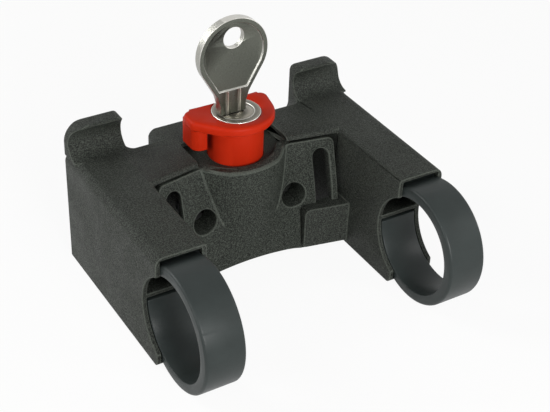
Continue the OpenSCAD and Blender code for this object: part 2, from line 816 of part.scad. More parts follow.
module lock_cylinder() color("#b9b6ae") difference() {
    union() {
        rod_z(lock_z + seat_gap, button_top, 0, button_y, lock_body_r);
        rod_z(button_top - lock_face_t, button_top, 0, button_y, lock_face_r);
    }
    rod_z(lock_z - over, button_top + over, 0, button_y, plug_r + plug_play);
}

// Slot for the key's blade
module keyway() block(blade_mid - blade_w / 2 - key_play, blade_mid + blade_w / 2 + key_play,
    button_y - blade_t / 2 - key_play, button_y + blade_t / 2 + key_play,
    blade_low - fit_gap, button_top + over);
function wafer_z(i) = blade_low + wafer_first + i * wafer_pitch;

module lock_plug() color("#a9a49a") difference() {
    union() {
        rod_z(plug_low, button_top - lock_play, 0, button_y, plug_r);
        rod_z(cam_top, plug_low + over, 0, button_y, tail_r);
    }
    keyway();
    for (i = [0 : wafer_n - 1])
        block(-wafer_w / 2 - wafer_play, wafer_w / 2 + wafer_play, button_y - wafer_h / 2 - wafer_play,
            button_y + plug_r + over, wafer_z(i) - wafer_play, wafer_z(i) + wafer_t + wafer_play);
    rod_z(cam_top - over, cam_top + cam_screw_l + fit_gap, 0, button_y, cam_screw_r + cam_screw_play);
}

module lock_wafers() color("#c8a24a") difference() {
    for (i = [0 : wafer_n - 1])
        block(-wafer_w / 2, wafer_w / 2, button_y - wafer_h / 2, button_y + wafer_h / 2,
            wafer_z(i), wafer_z(i) + wafer_t);
    keyway();
}

module lock_cam() color("#9a9690") difference() {
    union() {
        rod_z(cam_low, cam_top, 0, button_y, cam_hub_r);
        intersection() {
            rod_z(cam_low, cam_top, 0, button_y, cam_r);
            block(-cam_finger / 2, cam_finger / 2, button_y - cam_r - over, button_y, cam_low, cam_top);
        }
    }
    rod_z(cam_low - over, cam_top + over, 0, button_y, cam_screw_r + cam_screw_play);
}

module cam_screw() color("#8d8a84") {
    rod_z(cam_low - cam_head_h, cam_low, 0, button_y, cam_head_r);
    rod_z(cam_low - cam_head_h / 2, cam_top + cam_screw_l, 0, button_y, cam_screw_r);
}

// Half the width of the bow's tapered lower part at depth d below its centre, r being its radius
function bow_half(r, d) = r / cos(bow_taper) - d * tan(bow_taper);

// Outline of the key's bow, drawn in by rim, down to the points of its foot
module bow_outline(rim, foot) translate([bow_x, bow_z]) {
    start_r = bow_r - rim - bow_blend;
    right = concat([[start_r * cos(bow_taper), -start_r * sin(bow_taper)]], foot);
    circle(bow_r - rim);
    polygon(concat(right, [for (i = [len(right) - 1 : -1 : 0]) [-right[i].x, right[i].y]]));
}

module key_side() {
    along_y(button_y + bow_t / 2 - bow_sunk, button_y + bow_t / 2 + over)
        bow_outline(bow_rim, [[bow_half(bow_r - bow_rim, bow_z - shoulder_z), shoulder_z - bow_z]]);
    for (s = [-1, 1]) along_z(shank_low - over, shoulder_z - groove_end) polygon([
        [bow_x + s * groove_x - groove_w / 2, button_y + bow_t / 2 + over / 2],
        [bow_x + s * groove_x, button_y + bow_t / 2 - groove_deep],
        [bow_x + s * groove_x + groove_w / 2, button_y + bow_t / 2 + over / 2]]);
}

module key() color("#a5a096") difference() {
    union() {
        along_y(button_y - bow_t / 2, button_y + bow_t / 2) {
            bow_outline(0, [
                [bow_half(bow_r, neck_d - neck_l), neck_l - neck_d],
                [shank_w / 2, -neck_l - neck_d]]);
            translate([bow_x - shank_w / 2, shank_low])
                square([shank_w, bow_z - neck_d - neck_l - shank_low + over]);
        }
        along_y(button_y - blade_t / 2, button_y + blade_t / 2) difference() {
            translate([blade_mid - blade_w / 2, blade_low]) square([blade_w, blade_l + bow_web]);
            translate([blade_mid + blade_w / 2, blade_low])
                rotate(45) square(blade_tip * sqrt(2), center = true);
            for (i = [0 : wafer_n - 1])
                translate([blade_mid + blade_w / 2, wafer_z(i) + wafer_t / 2]) polygon([
                    [-cut_depth(i), -cut_w / 2], [over, -cut_w / 2 - over - cut_depth(i)],
                    [over, cut_w / 2 + over + cut_depth(i)], [-cut_depth(i), cut_w / 2]]);
        }
    }
    key_side();
    translate([0, 2 * button_y, 0]) mirror([0, 1, 0]) key_side();
    rod_y(button_y - bow_t, button_y + bow_t, bow_x, bow_top - bow_hole_down, bow_hole_r);
}
function cut_depth(i) = cut_least + cut_step * ((2 * i) % 3);

// Height of the coil's wire after n turns, with closely wound ends
function coil_z(n) = n < 1 ? n * spring_end_pitch
    : n > spring_turns - 1 ? spring_high - spring_low - (spring_turns - n) * spring_end_pitch
    : spring_end_pitch + (n - 1) / (spring_turns - 2) * (spring_high - spring_low - 2 * spring_end_pitch);
function coil_point(a, b, z) = [
    (spring_r + spring_wire / 2 * cos(b)) * cos(a),
    button_y + (spring_r + spring_wire / 2 * cos(b)) * sin(a),
    spring_low + z + spring_wire / 2 * sin(b)];

module button_spring() color("#9b9b98") {
    n = spring_turns * spring_steps;
    m = spring_sides;
    points = [for (i = [0 : n], j = [0 : m - 1])
        coil_point(360 * i / spring_steps, 360 * j / m, coil_z(i / spring_steps))];
    sides = [for (i = [0 : n - 1], j = [0 : m - 1], s = [0, 1]) s == 0
        ? [i * m + j, i * m + (j + 1) % m, (i + 1) * m + j]
        : [(i + 1) * m + j, i * m + (j + 1) % m, (i + 1) * m + (j + 1) % m]];
    first = [for (j = [0 : m - 1]) m - 1 - j];
    last = [for (j = [0 : m - 1]) n * m + j];
    polyhedron(points, concat(sides, [first], [last]));
}

// Right band: it swings on trunnions in the arm, its tail holds the nut
module clamp_strap() color("#3a3d40") difference() {
    union() {
        translate([arm_mid - strap_w / 2, 0, 0]) rotate([90, 0, 90]) rotate([0, 0, strap_start_deg])
            rotate_extrude(angle = 360 - strap_tail_deg - strap_start_deg)
                round_rect([bar_r, 0], [strap_r, strap_w], [0, strap_edge_r, strap_edge_r, 0]);
        rod_x(arm_mid - trunnion_half, arm_mid + trunnion_half, pivot_y, pivot_z, trunnion_r);
        difference() {
            block(arm_mid - block_w / 2, arm_mid + block_w / 2, block_in / 2, block_back,
                block_low, block_top);
            rod_x(arm_mid - block_w, arm_mid + block_w, 0, 0, block_in);
        }
    }
    block(arm_mid - nut_w / 2 - nut_play, arm_mid + nut_w / 2 + nut_play, pocket_y, pocket_back,
        block_low - over, pocket_top);
    rod_y(pocket_y - bolt_hole_deep, block_back + over, arm_mid, bolt_z, bolt_r + bolt_hole_play);
}

module clamp_nut() color("#b4b2ac") difference() {
    block(arm_mid - nut_w / 2, arm_mid + nut_w / 2, nut_y, nut_y + nut_t,
        bolt_z - nut_w / 2, bolt_z + nut_w / 2);
    rod_y(nut_y - over, nut_y + nut_t + over, arm_mid, bolt_z, nut_r);
}

module clamp_washer() color("#bcbab4") difference() {
    rod_y(washer_y, washer_y + washer_t, arm_mid, bolt_z, washer_r);
    rod_y(washer_y - over, washer_y + washer_t + over, arm_mid, bolt_z, bolt_r + washer_play);
}

module clamp_bolt() color("#8f9092") difference() {
    union() {
        rod_y(nut_y, head_y + over, arm_mid, bolt_z, bolt_r);
        rod_y(head_y, head_y + bolt_head_h - head_edge, arm_mid, bolt_z, bolt_head_r);
        translate([arm_mid, head_y + bolt_head_h - head_edge, bolt_z]) rotate([-90, 0, 0])
            cylinder(h = head_edge, r1 = bolt_head_r, r2 = bolt_head_r - head_edge);
    }
    translate([arm_mid, head_y + bolt_head_h - socket_l, bolt_z]) rotate([-90, 0, 0])
        cylinder(h = socket_l + over, r = socket_af / sqrt(3), $fn = 6);
}

module clamp_strap_left() left() clamp_strap();
module clamp_strap_right() clamp_strap();
module clamp_nut_left() left() clamp_nut();
module clamp_nut_right() clamp_nut();
module clamp_washer_left() left() clamp_washer();
module clamp_washer_right() clamp_washer();
module clamp_bolt_left() left() clamp_bolt();
module clamp_bolt_right() clamp_bolt();

module housing_screws() color("#77797b") screw_places() difference() {
    union() {
        rod_y(screw_head_y, screw_head_y + screw_head_h, 0, 0, screw_head_r);
        rod_y(frame_boss_y - pilot_l + fit_gap, screw_head_y + screw_head_h / 2, 0, 0, screw_r);
    }
    for (t = [0, 90]) rotate([0, t, 0]) block(-cross_l / 2, cross_l / 2,
        screw_head_y + screw_head_h - cross_deep, bag_y + over, -cross_w / 2, cross_w / 2);
}

module guide_screws() color("#77797b") both_sides() {
    rod_z(ear_low - seat_gap - guide_head_h, ear_low - seat_gap, post_x, post_y, guide_head_r);
    rod_z(ear_low - guide_head_h / 2, seat_top + pilot_l - fit_gap, post_x, post_y, guide_screw_r);
}

main_frame();
lock_housing();
latch_guide();
latch();
release_button();
lock_cylinder();
lock_plug();
lock_wafers();
lock_cam();
cam_screw();
key();
button_spring();
clamp_strap_left();
clamp_strap_right();
clamp_nut_left();
clamp_nut_right();
clamp_washer_left();
clamp_washer_right();
clamp_bolt_left();
clamp_bolt_right();
housing_screws();
guide_screws();
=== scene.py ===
"""Looks of a handlebar mount for a bicycle bag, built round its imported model."""

import logging
import math
from dataclasses import dataclass, field
from enum import Enum

import bmesh
import bpy
from mathutils import Matrix, Vector
from mathutils.bvhtree import BVHTree
from mathutils.kdtree import KDTree

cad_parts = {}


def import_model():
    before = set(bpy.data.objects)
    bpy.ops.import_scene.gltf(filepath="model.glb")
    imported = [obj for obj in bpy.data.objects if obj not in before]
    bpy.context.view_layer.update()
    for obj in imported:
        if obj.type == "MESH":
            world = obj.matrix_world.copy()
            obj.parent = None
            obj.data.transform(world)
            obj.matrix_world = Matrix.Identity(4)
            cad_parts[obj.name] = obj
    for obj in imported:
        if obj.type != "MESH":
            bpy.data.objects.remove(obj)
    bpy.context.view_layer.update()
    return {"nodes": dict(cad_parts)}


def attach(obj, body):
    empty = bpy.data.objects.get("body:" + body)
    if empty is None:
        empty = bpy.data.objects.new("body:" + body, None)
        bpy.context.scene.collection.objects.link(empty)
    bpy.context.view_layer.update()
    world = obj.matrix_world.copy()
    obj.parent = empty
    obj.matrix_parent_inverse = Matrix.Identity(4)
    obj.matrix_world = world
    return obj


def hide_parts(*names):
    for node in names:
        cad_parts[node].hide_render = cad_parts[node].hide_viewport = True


LOG = logging.getLogger("mount")
MM = 0.001
# Face mark on rounded edges, which the finishes paint paler: wear and painted glints.
EDGE_MARK = "edge"
# Shares of a rounding's radius past which a point is drawn back: off the old skin, and along it
STRAY_SHARE = 0.4
SLID_SHARE = 3.0
CUT_TOUCH_MM = 0.0005
# Grains across one patch of sheen, and the orange peel's fine ripple
PATCH_GRAINS = 24
PEEL_MM = 0.55
BUTTON_Y_MM = 49.5
SEAM_CUT_Y_MM = 41.5


def srgb(code: str) -> tuple[float, float, float, float]:
    """Turns an sRGB hex colour to the linear values that a shader reads.

    Args:
        code: six hexadecimal digits.

    Returns:
        Linear red, green, blue and an alpha of 1.
    """
    parts = [int(code[i : i + 2], 16) / 255 for i in (0, 2, 4)]
    low_end, slope, offset, gamma = 0.04045, 12.92, 0.055, 2.4
    linear = [p / slope if p <= low_end else ((p + offset) / (1 + offset)) ** gamma for p in parts]
    return (linear[0], linear[1], linear[2], 1.0)


def socket(row: bpy.types.bpy_prop_collection, name: str) -> bpy.types.NodeSocket:
    """Finds a node's socket by its identifier, or else by its name.

    Args:
        row: the node's inputs or outputs.
        name: the identifier or name.

    Returns:
        The socket.
    """
    return next((s for s in row if s.identifier == name), None) or row[name]


def add_node(tree: bpy.types.NodeTree, kind: str, settings: dict, links: dict) -> bpy.types.Node:
    """Adds one shader node.

    Args:
        tree: the material's or the world's node tree.
        kind: the node's type name, such as "ShaderNodeTexNoise".
        settings: attribute names, or input sockets' names, with their values.
        links: input sockets' names with the output sockets that feed them.

    Returns:
        The new node.
    """
    node = tree.nodes.new(kind)
    for name, value in settings.items():
        if hasattr(node, name):
            setattr(node, name, value)
        else:
            socket(node.inputs, name).default_value = value
    for name, source in links.items():
        tree.links.new(source, socket(node.inputs, name))
    return node


def new_tree(name: str) -> tuple[bpy.types.Material, bpy.types.NodeTree]:
    """Makes an empty node material.

    Args:
        name: the material's name.

    Returns:
        The material and its node tree.
    """
    material = bpy.data.materials.new(name)
    material.use_nodes = True
    material.node_tree.nodes.clear()
    return material, material.node_tree


def close_tree(tree: bpy.types.NodeTree, shader: bpy.types.Node) -> None:
    """Links a shader to the material's output.

    Args:
        tree: the material's node tree.
        shader: the node whose BSDF output is shown.
    """
    add_node(tree, "ShaderNodeOutputMaterial", {}, {"Surface": shader.outputs["BSDF"]})


@dataclass(frozen=True)
class GrainedPlastic:
    """Moulded plastic from a spark-eroded tool: fine pits that break up its sheen.

    Attributes:
        name: the material's name.
        colour: body colour.
        dust_and_sheen: paler colour that the grain's crests take, partly dust and partly a painted sheen
            where the crests catch the light.
        grain_mm: distance between the grain's crests.
        depth: strength of the grain in the surface's relief.
        rough: mean roughness.
        dust_and_sheen_share: how much of the paler dust and painted sheen shows.
        wear_and_glint: how much the rounded edges are painted paler, partly as polish by handling and partly
            as painted glints.
        specular: specular level.
    """

    name: str
    colour: str
    dust_and_sheen: str
    grain_mm: float
    depth: float
    rough: float
    dust_and_sheen_share: float = 0.5
    wear_and_glint: float = 0.25
    specular: float = 0.5

    def build(self) -> bpy.types.Material:
        """Builds the plastic's node material and returns it."""
        material, tree = new_tree(self.name)
        place = add_node(tree, "ShaderNodeTexCoord", {}, {}).outputs["Object"]
        cells = 1 / (self.grain_mm * MM)
        grain = add_node(
            tree, "ShaderNodeTexNoise", {"Scale": cells, "Detail": 3.0, "Roughness": 0.62}, {"Vector": place}
        ).outputs["Fac"]
        patch = add_node(
            tree,
            "ShaderNodeTexNoise",
            {"Scale": cells / PATCH_GRAINS, "Detail": 2.0, "Roughness": 0.5},
            {"Vector": place},
        ).outputs["Fac"]
        # The grain's crests are painted paler: dust, and a painted sheen where they catch the light.
        crest = add_node(
            tree,
            "ShaderNodeMapRange",
            {"From Min": 0.42, "From Max": 0.68, "To Min": 0.0, "To Max": self.dust_and_sheen_share},
            {"Value": grain},
        ).outputs["Result"]
        colour = add_node(
            tree,
            "ShaderNodeMix",
            {"data_type": "RGBA", "A_Color": srgb(self.colour), "B_Color": srgb(self.dust_and_sheen)},
            {"Factor_Float": crest},
        )
        # Rounded edges are painted paler: polish by handling, and painted glints.
        pale_edge_fac = add_node(tree, "ShaderNodeAttribute", {"attribute_name": EDGE_MARK}, {}).outputs["Fac"]
        pale_edge_share = add_node(
            tree,
            "ShaderNodeMapRange",
            {"From Min": 0.0, "From Max": 1.0, "To Min": 0.0, "To Max": self.wear_and_glint},
            {"Value": pale_edge_fac},
        ).outputs["Result"]
        edge = add_node(
            tree,
            "ShaderNodeMix",
            {"data_type": "RGBA", "B_Color": srgb(self.dust_and_sheen)},
            {"Factor_Float": pale_edge_share, "A_Color": socket(colour.outputs, "Result_Color")},
        )
        sheen = add_node(
            tree,
            "ShaderNodeMapRange",
            {"From Min": 0.3, "From Max": 0.7, "To Min": self.rough - 0.06, "To Max": self.rough + 0.06},
            {"Value": patch},
        ).outputs["Result"]
        relief = add_node(
            tree,
            "ShaderNodeBump",
            {"Strength": self.depth, "Distance": self.grain_mm * MM},
            {"Height": grain},
        ).outputs["Normal"]
        shader = add_node(
            tree,
            "ShaderNodeBsdfPrincipled",
            {"Specular IOR Level": self.specular, "IOR": 1.5},
            {"Base Color": socket(edge.outputs, "Result_Color"), "Roughness": sheen, "Normal": relief},
        )
        close_tree(tree, shader)
        return material


@dataclass(frozen=True)
class SatinPlastic:
    """Smooth moulded plastic with a faint orange-peel flow, such as nylon bands or an ABS button.

    Attributes:
        name: the material's name.
        colour: body colour.
        flow: second colour, in faint clouds left by the melt.
        rough: mean roughness.
        flow_mm: size of the clouds.
        peel: strength of the orange peel.
        scatter: weight of light that passes under the skin.
        specular: specular level.
    """

    name: str
    colour: str
    flow: str
    rough: float
    flow_mm: float = 9.0
    peel: float = 0.05
    scatter: float = 0.0
    specular: float = 0.35

    def build(self) -> bpy.types.Material:
        """Builds the plastic's node material and returns it."""
        material, tree = new_tree(self.name)
        place = add_node(tree, "ShaderNodeTexCoord", {}, {}).outputs["Object"]
        cloud = add_node(
            tree,
            "ShaderNodeTexNoise",
            {"Scale": 1 / (self.flow_mm * MM), "Detail": 3.0, "Roughness": 0.55},
            {"Vector": place},
        ).outputs["Fac"]
        fine = add_node(
            tree,
            "ShaderNodeTexNoise",
            {"Scale": 1 / (PEEL_MM * MM), "Detail": 2.0, "Roughness": 0.5},
            {"Vector": place},
        ).outputs["Fac"]
        colour = add_node(
            tree,
            "ShaderNodeMix",
            {"data_type": "RGBA", "A_Color": srgb(self.colour), "B_Color": srgb(self.flow)},
            {"Factor_Float": cloud},
        )
        sheen = add_node(
            tree,
            "ShaderNodeMapRange",
            {"From Min": 0.3, "From Max": 0.7, "To Min": self.rough - 0.04, "To Max": self.rough + 0.05},
            {"Value": cloud},
        ).outputs["Result"]
        relief = add_node(
            tree, "ShaderNodeBump", {"Strength": self.peel, "Distance": 0.2 * MM}, {"Height": fine}
        ).outputs["Normal"]
        shader = add_node(
            tree,
            "ShaderNodeBsdfPrincipled",
            {
                "Specular IOR Level": self.specular,
                "IOR": 1.5,
                "Subsurface Weight": self.scatter,
                "Subsurface Scale": 1.2 * MM,
            },
            {"Base Color": socket(colour.outputs, "Result_Color"), "Roughness": sheen, "Normal": relief},
        )
        close_tree(tree, shader)
        return material


class Working(Enum):
    """How a metal surface was made, which sets the direction of its marks."""

    TURNED = "turned"
    TUMBLED = "tumbled"
    DRAWN = "drawn"


@dataclass(frozen=True)
class WorkedMetal:
    """Metal with the marks that its making leaves.

    Attributes:
        name: the material's name.
        colour: the metal's colour.
        tarnish: duller colour in the hollows of its marks.
        rough: mean roughness.
        working: how the surface was made.
        mark_mm: distance between the marks.
        depth: strength of the marks in the surface's relief.
        centre: point that turned marks run round, in metres.
        bright_metal_and_glint: colour of rounded edges and of marked sides, partly rubbed or milled metal and
            partly painted glints.
    """

    name: str
    colour: str
    tarnish: str
    rough: float
    working: Working
    mark_mm: float
    depth: float = 0.15
    centre: tuple[float, float, float] = (0.0, 0.0, 0.0)
    bright_metal_and_glint: str = "d2d0ca"

    def marks(self, tree: bpy.types.NodeTree) -> bpy.types.NodeSocket:
        """Adds the pattern of the surface's marks.

        Args:
            tree: the material's node tree.

        Returns:
            The socket that gives the pattern, from 0 to 1.
        """
        place = add_node(tree, "ShaderNodeTexCoord", {}, {}).outputs["Object"]
        pitch = 1 / (self.mark_mm * MM)
        if self.working is Working.TURNED:
            moved = add_node(
                tree, "ShaderNodeMapping", {"Location": tuple(-c for c in self.centre)}, {"Vector": place}
            ).outputs["Vector"]
            return add_node(
                tree,
                "ShaderNodeTexWave",
                {
                    "wave_type": "RINGS",
                    "rings_direction": "Z",
                    "Scale": pitch / 20,
                    "Distortion": 1.5,
                    "Detail": 2.0,
                },
                {"Vector": moved},
            ).outputs["Fac"]
        if self.working is Working.DRAWN:
            moved = add_node(
                tree, "ShaderNodeMapping", {"Scale": (1.0, 0.08, 1.0)}, {"Vector": place}
            ).outputs["Vector"]
            return add_node(
                tree, "ShaderNodeTexNoise", {"Scale": pitch, "Detail": 3.0}, {"Vector": moved}
            ).outputs["Fac"]
        return add_node(
            tree, "ShaderNodeTexNoise", {"Scale": pitch, "Detail": 4.0, "Roughness": 0.65}, {"Vector": place}
        ).outputs["Fac"]

    def build(self) -> bpy.types.Material:
        """Builds the metal's node material and returns it."""
        material, tree = new_tree(self.name)
        marks = self.marks(tree)
        colour = add_node(
            tree,
            "ShaderNodeMix",
            {"data_type": "RGBA", "A_Color": srgb(self.tarnish), "B_Color": srgb(self.colour)},
            {"Factor_Float": marks},
        )
        # Marked edges and sides are painted paler: rubbed or milled metal, and painted glints.
        pale_edge_fac = add_node(tree, "ShaderNodeAttribute", {"attribute_name": EDGE_MARK}, {}).outputs["Fac"]
        colour = add_node(
            tree,
            "ShaderNodeMix",
            {"data_type": "RGBA", "B_Color": srgb(self.bright_metal_and_glint)},
            {"Factor_Float": pale_edge_fac, "A_Color": socket(colour.outputs, "Result_Color")},
        )
        sheen = add_node(
            tree,
            "ShaderNodeMapRange",
            {"From Min": 0.25, "From Max": 0.75, "To Min": self.rough + 0.08, "To Max": self.rough - 0.05},
            {"Value": marks},
        ).outputs["Result"]
        relief = add_node(
            tree, "ShaderNodeBump", {"Strength": self.depth, "Distance": self.mark_mm * MM}, {"Height": marks}
        ).outputs["Normal"]
        shader = add_node(
            tree,
            "ShaderNodeBsdfPrincipled",
            {"Metallic": 1.0},
            {"Base Color": socket(colour.outputs, "Result_Color"), "Roughness": sheen, "Normal": relief},
        )
        close_tree(tree, shader)
        return material


LOCK_CENTRE = (0.0, BUTTON_Y_MM * MM, 0.0)


class Finish(Enum):
    """Every finish on the mount, by the record's material slot that it belongs to."""

    # The plastics' third colour is the paler dust and painted crest sheen; the second last number is the
    # edges' wear and painted glint.
    FRAME = GrainedPlastic("black_abs_fine_grain", "1b1d1a", "747a71", 0.36, 0.7, 0.55, 0.38, 0.25, 0.14)
    HOUSING = GrainedPlastic(
        "charcoal_glass_filled_nylon", "1a1d19", "747a71", 0.38, 0.8, 0.58, 0.42, 0.28, 0.14
    )
    INNER = SatinPlastic("grey_acetal", "2c2e30", "3a3c3e", 0.45)
    BAND = SatinPlastic("black_nylon_satin", "2a2f2e", "343a39", 0.4, 7.0, 0.08, 0.0, 0.2)
    BUTTON = SatinPlastic("red_abs_satin", "b4250e", "be2c12", 0.42, 8.0, 0.04, 0.06, 0.08)
    # The metals' marked edges take the default pale colour: rubbed metal and painted glints.
    LOCK = WorkedMetal("satin_nickel_turned", "8c887e", "6d6a62", 0.32, Working.TURNED, 0.5, 0.1, LOCK_CENTRE)
    KEY = WorkedMetal("nickel_plated_brass_tumbled", "7d7f77", "55584f", 0.3, Working.TUMBLED, 0.6, 0.25)
    BRASS = WorkedMetal("stamped_brass", "c9a254", "8d6f35", 0.35, Working.TUMBLED, 0.5, 0.1)
    SPRING = WorkedMetal("drawn_spring_steel", "a8a8a8", "6f6f70", 0.3, Working.DRAWN, 0.2, 0.1)
    SCREW = WorkedMetal("zinc_plated_steel", "b9b9b4", "85868a", 0.35, Working.TUMBLED, 0.4, 0.1)


BUILT: dict[Finish, bpy.types.Material] = {}
LOCK_CUTS = (("x", 0.0), ("y", BUTTON_Y_MM))


def dress(obj: bpy.types.Object, finish: Finish) -> None:
    """Gives an object one finish, whose material is built once.

    Args:
        obj: the mesh object.
        finish: the finish.
    """
    if finish not in BUILT:
        BUILT[finish] = finish.value.build()
    obj.data.materials.clear()
    obj.data.materials.append(BUILT[finish])


def show_smooth(obj: bpy.types.Object, sharp_deg: float) -> None:
    """Shades a mesh smooth, with sharp edges where its faces meet at more than an angle.

    Args:
        obj: the mesh object.
        sharp_deg: the angle in degrees.
    """
    obj.data.shade_smooth()
    obj.data.set_sharp_from_angle(angle=math.radians(sharp_deg))


def add_object(name: str, mesh: bmesh.types.BMesh) -> bpy.types.Object:
    """Makes a scene object of a bmesh and frees the bmesh.

    Args:
        name: the object's name.
        mesh: its shape, in metres.

    Returns:
        The new object.
    """
    data = bpy.data.meshes.new(name)
    mesh.to_mesh(data)
    mesh.free()
    obj = bpy.data.objects.new(name, data)
    bpy.context.scene.collection.objects.link(obj)
    return obj


@dataclass
class SoftenedNode:
    """A CAD node's own form with the small radii that its mould or its tumbling gives.

    Attributes:
        node: the CAD node that it stands for.
        body: the body that it rides on.
        finish: its finish.
        radius_mm: radius that is put on its edges.
        segments: steps in each radius.
        sharp_deg: edges that turn by more than this are rounded.
        cuts: planes, each an axis and a place in mm, that split the flat faces round a hole.
    """

    node: str
    body: str
    finish: Finish
    radius_mm: float = 0.3
    segments: int = 2
    sharp_deg: float = 28.0
    cuts: tuple[tuple[str, float], ...] = ()

    def merged(self, source: bpy.types.Object) -> bmesh.types.BMesh:
        """Copies the node's mesh, joins its triangles and clears the flat ones away.

        Args:
            source: the CAD node's object.

        Returns:
            The copy as a bmesh with flat faces in one piece.
        """
        mesh = bmesh.new()
        mesh.from_mesh(source.data)
        bmesh.ops.remove_doubles(mesh, verts=mesh.verts[:], dist=0.002 * MM)
        bmesh.ops.dissolve_degenerate(mesh, dist=0.03 * MM, edges=mesh.edges[:])
        for axis, at in self.cuts:
            way = Vector([1.0 if axis == name else 0.0 for name in "xyz"])
            parts = mesh.verts[:] + mesh.edges[:] + mesh.faces[:]
            made = bmesh.ops.bisect_plane(
                mesh, geom=parts, dist=CUT_TOUCH_MM * MM, plane_co=way * at * MM, plane_no=way
            )
            for part in made["geom_cut"]:
                if isinstance(part, bmesh.types.BMEdge):
                    part.seam = True
        self.flatten(mesh)
        return mesh

    def flatten(self, mesh: bmesh.types.BMesh) -> None:
        """Joins the triangles of each flat face, up to the cuts.

        Args:
            mesh: the shape, which is changed.
        """
        bmesh.ops.dissolve_limit(
            mesh,
            angle_limit=math.radians(0.6),
            verts=mesh.verts[:],
            edges=mesh.edges[:],
            use_dissolve_boundaries=False,
            delimit={"SEAM"},
        )

    def round_edges(self, mesh: bmesh.types.BMesh, edges: list, radius_mm: float, segments: int) -> None:
        """Rounds edges, marks the new faces as edge, and draws stray points back to the old skin.

        Args:
            mesh: the shape.
            edges: the edges that are rounded.
            radius_mm: the radius.
            segments: steps in the radius.
        """
        skin = BVHTree.FromBMesh(mesh)
        course = self.samples(edges, radius_mm)
        mark = mesh.faces.layers.float.get(EDGE_MARK) or mesh.faces.layers.float.new(EDGE_MARK)
        made = bmesh.ops.bevel(
            mesh,
            geom=edges,
            offset=radius_mm * MM,
            offset_type="OFFSET",
            affect="EDGES",
            segments=segments,
            profile=0.5,
            material=-1,
            clamp_overlap=False,
            loop_slide=True,
        )
        # The mark paints these faces paler in the finishes: wear and painted glints.
        for face in made["faces"]:
            face[mark] = 1.0
        for vert in made["verts"]:
            spot, _, far = course.find(vert.co)
            if far > SLID_SHARE * radius_mm * MM:
                vert.co = spot
        for vert in mesh.verts:
            spot = skin.find_nearest(vert.co)[0]
            if (spot - vert.co).length > STRAY_SHARE * radius_mm * MM:
                vert.co = spot

    @staticmethod
    def samples(edges: list, radius_mm: float) -> KDTree:
        """Lays close points along edges.

        Args:
            edges: the edges.
            radius_mm: about twice the distance between the points.

        Returns:
            A tree in which the nearest of these points is found.
        """
        spots = []
        for edge in edges:
            start, end = (vert.co for vert in edge.verts)
            steps = max(2, math.ceil((end - start).length / (0.5 * radius_mm * MM)))
            spots += [start.lerp(end, step / steps) for step in range(steps + 1)]
        tree = KDTree(len(spots))
        for index, spot in enumerate(spots):
            tree.insert(spot, index)
        tree.balance()
        return tree

    def sharp(self, mesh: bmesh.types.BMesh) -> list:
        """Lists the edges at which the faces turn by more than the piece's angle.

        Args:
            mesh: the shape.

        Returns:
            The edges.
        """
        limit = math.radians(self.sharp_deg)
        return [e for e in mesh.edges if len(e.link_faces) == 2 and e.calc_face_angle(0.0) > limit]

    def shape(self, mesh: bmesh.types.BMesh) -> None:
        """Rounds the piece's sharp edges.

        Args:
            mesh: the merged copy, which is changed.
        """
        self.round_edges(mesh, self.sharp(mesh), self.radius_mm, self.segments)

    def build(self, source: bpy.types.Object) -> bpy.types.Object:
        """Builds the softened piece, which stands for its node.

        Args:
            source: the CAD node's object.

        Returns:
            The new object.
        """
        mesh = self.merged(source)
        self.shape(mesh)
        obj = add_object(f"{self.node}_soft", mesh)
        show_smooth(obj, 35.0)
        dress(obj, self.finish)
        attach(obj, self.body)
        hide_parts(self.node)
        return obj


def eased(value: float, half: float) -> float:
    """Bends a ramp that starts at 0, so that it starts softly.

    Args:
        value: the ramp's input.
        half: distance on each side of 0 over which it bends.

    Returns:
        0 below the bend, the value itself above it.
    """
    return 0.0 if value < -half else (value + half) ** 2 / (4 * half) if value < half else value


def plate_shift(x_mm: float, z_mm: float) -> float:
    """Gives how far the front plate's two wings lie behind its plain lean.

    Args:
        x_mm: place along the bar.
        z_mm: height.

    Returns:
        The distance in mm, less than 0 where the wings come towards the rider.
    """
    return 0.128 * eased(z_mm - 1.4, 3.0) - 0.2 * eased(abs(x_mm) - 16.2, 2.5)


def plate_depth(x_mm: float, y_mm: float, z_mm: float) -> float:
    """Gives a point's distance behind the front of the CAD's plate.

    Args:
        x_mm: place along the bar.
        y_mm: place towards the bag.
        z_mm: height.

    Returns:
        The distance in mm.
    """
    return y_mm - 39.2 - 0.1423 * z_mm


@dataclass
class SweptHousing(SoftenedNode):
    """The lock's housing, whose front plate is swept towards the rider at both ends.

    Attributes:
        rim_mm: radius of the boss's rim.
        rim_y_mm: distance of the rim's centre from the bar's axis.
        rim_z_mm: height of the rim.
        rim_round_mm: radius of the rim's outer edge.
    """

    rim_mm: float = 22.0
    rim_y_mm: float = 57.5
    rim_z_mm: float = 18.4
    rim_round_mm: float = 0.9
    cuts: tuple[tuple[str, float], ...] = (
        *(("x", side * at) for side in (-1, 1) for at in (13.7, 15.0, 16.2, 17.5, 18.7)),
        *(("z", at) for at in (-1.6, 0.0, 1.5, 3.0, 4.4)),
        ("x", 0.0),
    )

    def sweep(self, mesh: bmesh.types.BMesh) -> None:
        """Moves the plate's points to the swept form.

        Args:
            mesh: the merged copy, which is changed.
        """
        for vert in mesh.verts:
            x, y, z = vert.co / MM
            if plate_depth(x, y, z) < 3.4:
                share = min(max((abs(x) - 9.0) / 5.0, 0.0), 1.0)
                vert.co.y += share * plate_shift(x, z) * MM

    def shape(self, mesh: bmesh.types.BMesh) -> None:
        """Rounds the boss's rim more than the other edges, and sweeps the plate.

        Args:
            mesh: the merged copy, which is changed.
        """
        centre = Vector((0.0, self.rim_y_mm * MM))
        rim = [
            e
            for e in self.sharp(mesh)
            if all(
                abs(v.co.z - self.rim_z_mm * MM) < 0.05 * MM
                and abs((v.co.xy - centre).length - self.rim_mm * MM) < 0.1 * MM
                for v in e.verts
            )
        ]
        self.round_edges(mesh, rim, self.rim_round_mm, 3)
        self.sweep(mesh)
        self.round_edges(mesh, self.sharp(mesh), self.radius_mm, self.segments)


